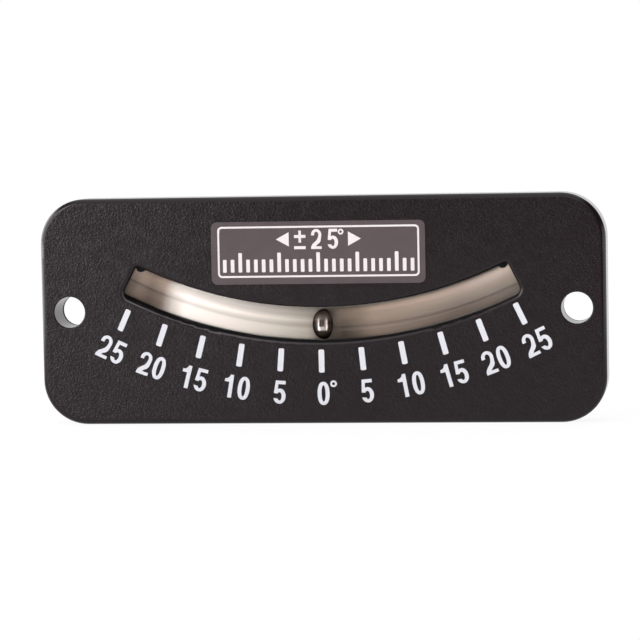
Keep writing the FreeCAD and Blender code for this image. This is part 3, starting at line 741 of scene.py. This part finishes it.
# The degree sign's place, in shares of the pitch and the half height, and the last arrow's
RANGE_DEGREE_PLACE = (1.98, 0.7)
RANGE_ARROW_PLACE = 2.75
RULE_BASE = 8.1
RULE_TALL = 4.1
RULE_SHORT = 2.7
RULE_TALL_STEP = 5
RULE_BARS = 25
RULE_PITCH = 1.66
RULE_BAR_WIDTH = 0.78
RULE_BAR_CORNER = 0.156
RULE_BAR_CORNER_STEPS = 2


def round_box(width, height, corner, centre, steps=8):
    """A closed loop round a rectangle with round corners."""
    loop = []
    for quarter, (side_x, side_y) in enumerate(((1, 1), (-1, 1), (-1, -1), (1, -1))):
        middle = (
            centre[0] + side_x * (width / 2 - corner),
            centre[1] + side_y * (height / 2 - corner),
        )
        loop += bow(middle, (corner, corner), 90 * quarter, 90 * quarter + 90, steps)
    return loop


def make_label_print(ink):
    """The label's border, its range and a graduated rule below it."""
    depth = FACE_DEPTH + LABEL_THICKNESS - LABEL_PRINT_SINK
    inner = [side - 2 * BORDER_LINE for side in BORDER_SIZE]
    border = [
        round_box(*BORDER_SIZE, BORDER_CORNER, BORDER_CENTRE),
        round_box(*inner, BORDER_CORNER - BORDER_LINE, BORDER_CENTRE),
    ]
    loops = written(["arrow", "plus_minus", "2", "5"], RANGE_HALF_HEIGHT, RANGE_PITCH)
    degree = (RANGE_PITCH * RANGE_DEGREE_PLACE[0], RANGE_HALF_HEIGHT * RANGE_DEGREE_PLACE[1])
    loops += placed(FIGURES["ring"], RANGE_HALF_HEIGHT, degree)
    arrow = [[(-x, y) for x, y in loop] for loop in FIGURES["arrow"]]
    loops += placed(arrow, RANGE_HALF_HEIGHT, (RANGE_PITCH * RANGE_ARROW_PLACE, 0.0))
    loops = placed(loops, 1.0, RANGE_CENTRE)
    middle = RULE_BARS // 2
    for index in range(RULE_BARS):
        step = index - middle
        height = RULE_SHORT if step % RULE_TALL_STEP else RULE_TALL
        place = (BORDER_CENTRE[0] + RULE_PITCH * step, RULE_BASE + height / 2)
        loops.append(round_box(RULE_BAR_WIDTH, height, RULE_BAR_CORNER, place, RULE_BAR_CORNER_STEPS))
    for name, shape in (("label_border", border), ("label_scale", loops)):
        flat_print(name, shape, depth, LABEL_PRINT_THICKNESS, ink)


# The tube and its liquid
TUBE_STEPS = 240
TUBE_SIDES = 96
LIQUID_GAP = 0.03
LIQUID_ALONG = 160
LIQUID_AROUND = 64


def make_tube(glass, bore):
    """The tube as a skin with a polished outside and a hidden bore."""
    bm = bmesh.new()
    outer = sweep_round(bm, tube_half_angle, TUBE_OUTER, TUBE_STEPS, TUBE_SIDES, 0)
    inner = sweep_round(bm, tube_half_angle, TUBE_BORE, TUBE_STEPS, TUBE_SIDES, 1, outward=False)
    for first, second, order in ((outer[0], inner[0], 1), (outer[-1], inner[-1], -1)):
        for turn in range(TUBE_SIDES):
            after = (turn + 1) % TUBE_SIDES
            corners = [first[turn], first[after], second[after], second[turn]]
            bm.faces.new(corners[::order])
    mesh = bpy.data.meshes.new("clear_tube")
    bm.to_mesh(mesh)
    bm.free()
    tube = add_mesh("clear_tube", mesh, [glass, bore])
    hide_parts("vial_tube")


def make_liquid(material):
    """The liquid that fills the bore between the plugs."""
    half_angle = tube_half_angle - PLUG_LENGTH / TUBE_RADIUS
    bm = bmesh.new()
    rings = sweep_round(bm, half_angle, TUBE_BORE - LIQUID_GAP, LIQUID_ALONG, LIQUID_AROUND, 0)
    bm.faces.new(rings[0])
    bm.faces.new(rings[-1][::-1])
    mesh = bpy.data.meshes.new("clear_liquid")
    bm.to_mesh(mesh)
    bm.free()
    liquid = add_mesh("clear_liquid", mesh, [material])
    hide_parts("damping_fluid")


# The solids that stay, each with its finish

LABEL_INK_TONES = ((0.65, 0.60, 0.61), (0.73, 0.67, 0.68))
SCALE_INK_TONES = ((0.575, 0.57, 0.61), (0.645, 0.64, 0.685))
PLUG_LEVEL = 0.012
SADDLE_LEVEL = 0.016

label_ink = white_ink("label_ink", *LABEL_INK_TONES)
scale_ink = white_ink("scale_ink", *SCALE_INK_TONES)
finishes = {
    "front_housing": black_moulding(),
    "rear_cover": cover_plastic(),
    "cover_screws": screw_steel(),
    "left_end_plug": black_rubber("plug_rubber", PLUG_LEVEL),
    "left_tube_saddle": black_rubber("saddle_rubber", SADDLE_LEVEL),
    "ball": ball_steel(),
    "reflector_strip": reflector_metal(),
    "label_plate": label_film(),
    "scale_ticks": scale_ink,
}
finishes["right_end_plug"] = finishes["left_end_plug"]
finishes["right_tube_saddle"] = finishes["left_tube_saddle"]
for node, finish in finishes.items():
    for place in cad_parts[node].material_slots:
        place.material = finish

make_numbers(scale_ink)
make_label_print(label_ink)
make_tube(tube_glass(), bore_film())
make_liquid(liquid_clear())


# Studio: the floor's sizes are in metres but for its height, which is in millimetres
FLOOR_HEIGHT = -24.0
FLOOR_RADIUS = 0.3
FLOOR_SEGMENTS = 96
FLOOR_SHADOW_SHARE = 0.09
FLOOR_SHADOW_REACH = (0.1, 0.28)
PAPER_GRAIN_SIZE = 4.0
PAPER_TONES = ((0.86, 0.86, 0.86), (0.9, 0.9, 0.9))


def make_floor():
    """A plain pale floor that shows white, and keeps a soft shadow."""
    bm = bmesh.new()
    bmesh.ops.create_circle(bm, cap_ends=True, segments=FLOOR_SEGMENTS, radius=FLOOR_RADIUS)
    mesh = bpy.data.meshes.new("floor")
    bm.to_mesh(mesh)
    bm.free()
    floor = bpy.data.objects.new("floor", mesh)
    floor.location.z = FLOOR_HEIGHT * MM
    floor.visible_transmission = False
    bpy.context.scene.collection.objects.link(floor)
    material = bpy.data.materials.new("floor_paper")
    material.use_nodes = True
    material.node_tree.nodes.clear()
    tree = NodeTree(material.node_tree)
    paper = tree.node("ShaderNodeBsdfDiffuse")
    places = tree.node("ShaderNodeTexCoord").outputs["Object"]
    grain = tree.noise(PAPER_GRAIN_SIZE, vector=places)
    tree.link(tree.blend(grain, *PAPER_TONES), paper.inputs[0])
    glow = tree.node("ShaderNodeEmission")
    mix = tree.node("ShaderNodeMixShader")
    away = tree.node("ShaderNodeVectorMath", operation="LENGTH")
    tree.link(places, away.inputs[0])
    levels = (1 - FLOOR_SHADOW_SHARE, 1.0)
    glowing = tree.spread(away.outputs["Value"], *FLOOR_SHADOW_REACH, *levels, smooth=True)
    tree.link(tree.product(seen_share(tree), glowing), mix.inputs[0])
    tree.link(paper.outputs[0], mix.inputs[1])
    tree.link(glow.outputs[0], mix.inputs[2])
    tree.link(mix.outputs[0], tree.node("ShaderNodeOutputMaterial").inputs[0])
    mesh.materials.append(material)


def seen_share(tree):
    """One for rays from the camera, and for what glossy surfaces show."""
    path = tree.node("ShaderNodeLightPath").outputs
    return tree.maths("MAXIMUM", path["Is Camera Ray"], path["Is Glossy Ray"])


# Soft boxes: their middle and half their width in degrees round from the front, their lowest
# and highest share of straight up, and their strength
SOFT_BOXES = (
    (-38.0, 10.0, -0.05, 0.62, 7.2),
    (-92.0, 38.0, -0.3, 0.6, 5.5),
    (92.0, 38.0, -0.3, 0.2, 2.0),
)
# The same for what is lit through the clear tube, which has a level of its own, CLEAR_LEVEL
CLEAR_BOXES = (
    (-44.5, 9.0, -0.55, 0.75, 22.0),
    (48.0, 4.5, -0.55, 0.75, 16.0),
)
SOFT_EDGE = 5.0
SOFT_EDGE_UP = 0.08
# The sky: where it begins and is full, by the direction's shares up, back and aside, and its strength
SKY_UP = (0.28, 0.46)
SKY_BACK = (0.55, 0.75)
SKY_ASIDE = (0.35, 0.55)
SKY_STRENGTH = 1.42
# The levels before and behind the object, and the direction's shares back where one turns to the other
FRONT_LEVEL = 0.05
BACK_LEVEL = 1.0
BACK_EDGE = (0.7, 0.97)
CLEAR_LEVEL = 1.9


def with_boxes(tree, level, boxes, round_angle, up):
    """A level of light with soft boxes added to it."""
    for middle, half, low, high, strength in boxes:
        off = tree.maths("ABSOLUTE", tree.maths("SUBTRACT", round_angle, middle))
        lit = tree.product(
            tree.spread(off, half - SOFT_EDGE, half + SOFT_EDGE, strength, 0.0, smooth=True),
            tree.spread(up, low - SOFT_EDGE_UP, low + SOFT_EDGE_UP),
            tree.spread(up, high - SOFT_EDGE_UP, high + SOFT_EDGE_UP, 1.0, 0.0),
        )
        level = tree.maths("ADD", lit, level)
    return level


def make_world():
    """White behind the object and a plain studio in front of it."""
    world = bpy.data.worlds.new("studio")
    bpy.context.scene.world = world
    world.use_nodes = True
    world.node_tree.nodes.clear()
    tree = NodeTree(world.node_tree)
    path = tree.node("ShaderNodeLightPath").outputs
    x, y, z = tree.separate(tree.node("ShaderNodeTexCoord").outputs["Generated"])
    front = tree.maths("MULTIPLY", y, -1.0)
    round_angle = tree.maths("MULTIPLY", tree.maths("ARCTAN2", x, front), 360 / WHOLE_TURN)
    sky = tree.product(
        tree.spread(z, *SKY_UP),
        tree.spread(y, *SKY_BACK, 1.0, 0.0),
        tree.spread(tree.maths("ABSOLUTE", x), *SKY_ASIDE, 1.0, 0.0),
    )
    level = tree.mixed(sky, FRONT_LEVEL, SKY_STRENGTH)
    level = with_boxes(tree, level, SOFT_BOXES, round_angle, z)
    clear_level = with_boxes(tree, CLEAR_LEVEL, CLEAR_BOXES, round_angle, z)
    level = tree.mixed(path["Is Transmission Ray"], level, clear_level)
    level = tree.mixed(tree.spread(y, *BACK_EDGE, smooth=True), level, BACK_LEVEL)
    level = tree.mixed(path["Is Camera Ray"], level, BACK_LEVEL)
    background = tree.node("ShaderNodeBackground")
    tree.link(level, background.inputs["Strength"])
    tree.link((1.0, 1.0, 1.0), background.inputs["Color"])
    tree.link(background.outputs[0], tree.node("ShaderNodeOutputWorld").inputs[0])


def add_lamp(name, place, size, power):
    """A soft square lamp that points at the object's middle."""
    lamp = bpy.data.lights.new(name, "AREA")
    lamp.size = size
    lamp.energy = power
    holder = bpy.data.objects.new(name, lamp)
    holder.location = place
    holder.rotation_euler = Vector(place).to_track_quat("Z", "Y").to_euler()
    holder.visible_camera = False
    holder.visible_glossy = False
    holder.visible_transmission = False
    bpy.context.scene.collection.objects.link(holder)


# The back lamp's place and size in metres, and its power in watts
BACK_LAMP = ((0.3, 0.7, 0.5), 0.6, 2.5)

# The camera: its place in metres, its turns in degrees, its lens and its sensor's width in millimetres
CAMERA_PLACE = (0.0914784, -0.6480526, 0.0415650)
CAMERA_TURNS = (86.12776, 1.06168, 8.08890)
CAMERA_LENS = 172.885
CAMERA_SENSOR = 36.0


def add_camera():
    """The photograph's camera."""
    data = bpy.data.cameras.new("camera")
    data.sensor_width = CAMERA_SENSOR
    data.lens = CAMERA_LENS
    camera = bpy.data.objects.new("camera", data)
    camera.location = CAMERA_PLACE
    camera.rotation_euler = Euler([math.radians(turn) for turn in CAMERA_TURNS], "XYZ")
    bpy.context.scene.collection.objects.link(camera)
    bpy.context.scene.camera = camera


make_floor()
make_world()
add_lamp("back", *BACK_LAMP)
add_camera()
bpy.context.scene.view_settings.view_transform = "Standard"
